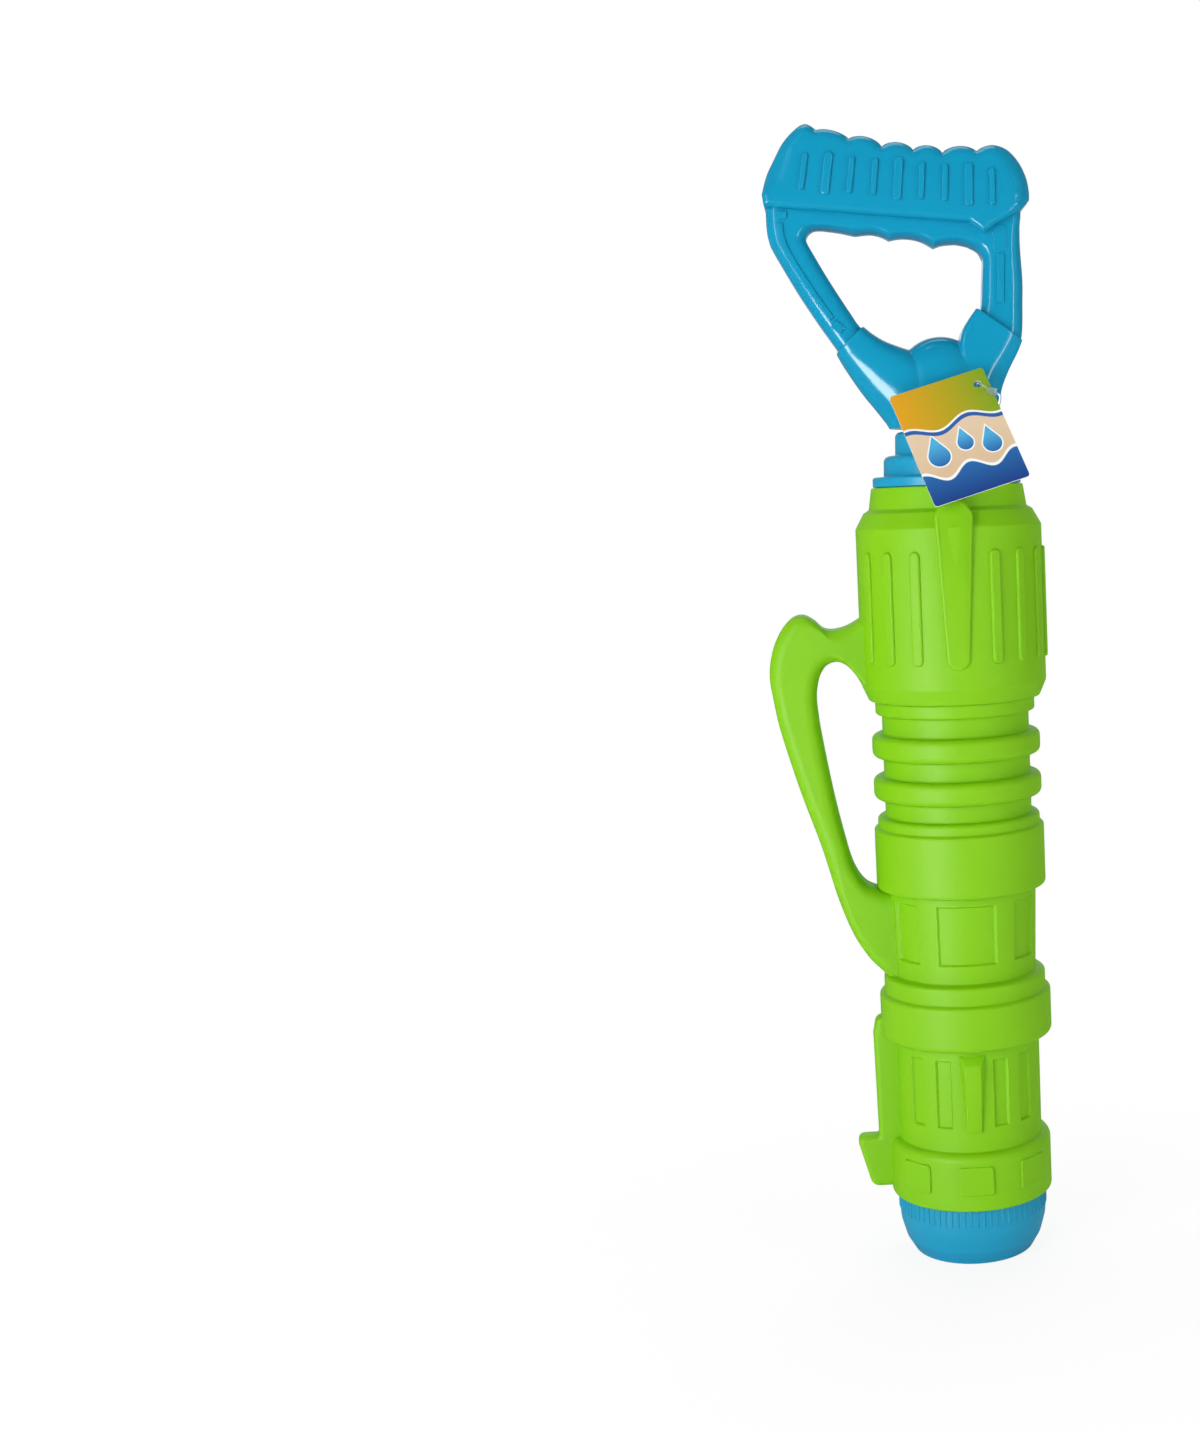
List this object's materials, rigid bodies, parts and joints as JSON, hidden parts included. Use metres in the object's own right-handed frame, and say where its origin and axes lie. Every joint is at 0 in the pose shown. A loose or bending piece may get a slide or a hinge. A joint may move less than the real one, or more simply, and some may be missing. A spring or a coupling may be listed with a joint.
{
  "type": "pump action water squirter",
  "caption": "Toy hand pump that draws water in through its nozzle cap and squirts it out when the D-handled plunger is pushed, with a moulded side handle.",
  "frame": {"origin": "centre of the water outlet in the nozzle cap's flat end face, on which it stands", "axes": "+Z along the barrel to the plunger handle; the front is -Y; the side handle is at -X"},
  "size_m": [0.1216, 0.0882, 0.4924],
  "materials": {
    "green_shell": "satin blow-moulded polyethylene",
    "blue_plastic": "glossy injection-moulded polypropylene",
    "white_plastic": "natural injection-moulded polypropylene",
    "seal_rubber": "moulded rubber",
    "steel": "zinc-plated steel",
    "clear_tie": "clear nylon filament",
    "printed_card": "laminated printed card"
  },
  "bodies": {
    "barrel": {"barrel_shell": "green_shell", "top_cap": "blue_plastic", "rod_guide": "white_plastic", "pump_tube": "white_plastic", "tube_base": "white_plastic"},
    "cap_seal": {"nozzle_gasket": "seal_rubber"},
    "nozzle": {"nozzle_cap": "blue_plastic"},
    "piston": {"piston": "white_plastic", "piston_rings": "seal_rubber"},
    "plunger": {"plunger_rod": "blue_plastic", "rod_plug": "white_plastic", "piston_screw": "steel", "piston_washer": "steel", "rod_pin": "steel", "handle_front": "blue_plastic", "handle_rear": "blue_plastic", "grip_front": "blue_plastic", "grip_rear": "blue_plastic", "handle_screws": "steel", "tag_tie": "clear_tie"},
    "tag": {"hang_tag": "printed_card"}
  },
  "joints": [
    {"name": "plunger_slide", "type": "slide", "parent": "barrel", "child": "piston", "axis": [0, 0, 1], "range_m": [0, 0.265]},
    {"name": "plunger_turn", "type": "hinge", "parent": "piston", "child": "plunger", "pos_m": [0, 0, 0.04], "axis": [0, 0, 1], "continuous": true},
    {"name": "cap_travel", "type": "slide", "parent": "barrel", "child": "cap_seal", "axis": [0, 0, -1], "range_m": [0, 0.0121]},
    {"name": "cap_turn", "type": "hinge", "parent": "cap_seal", "child": "nozzle", "pos_m": [0, 0, 0], "axis": [0, 0, -1], "range_deg": [0, 720]},
    {"name": "tag_swing", "type": "hinge", "parent": "plunger", "child": "tag", "pos_m": [0.0133, -0.0208, 0.3815], "axis": [0, -0.8988, 0.4384], "range_deg": [-25, 5]}
  ],
  "couplings": [
    {"joint": "cap_travel", "follows": "cap_turn", "m_per_rad": 0.00095493}
  ]
}
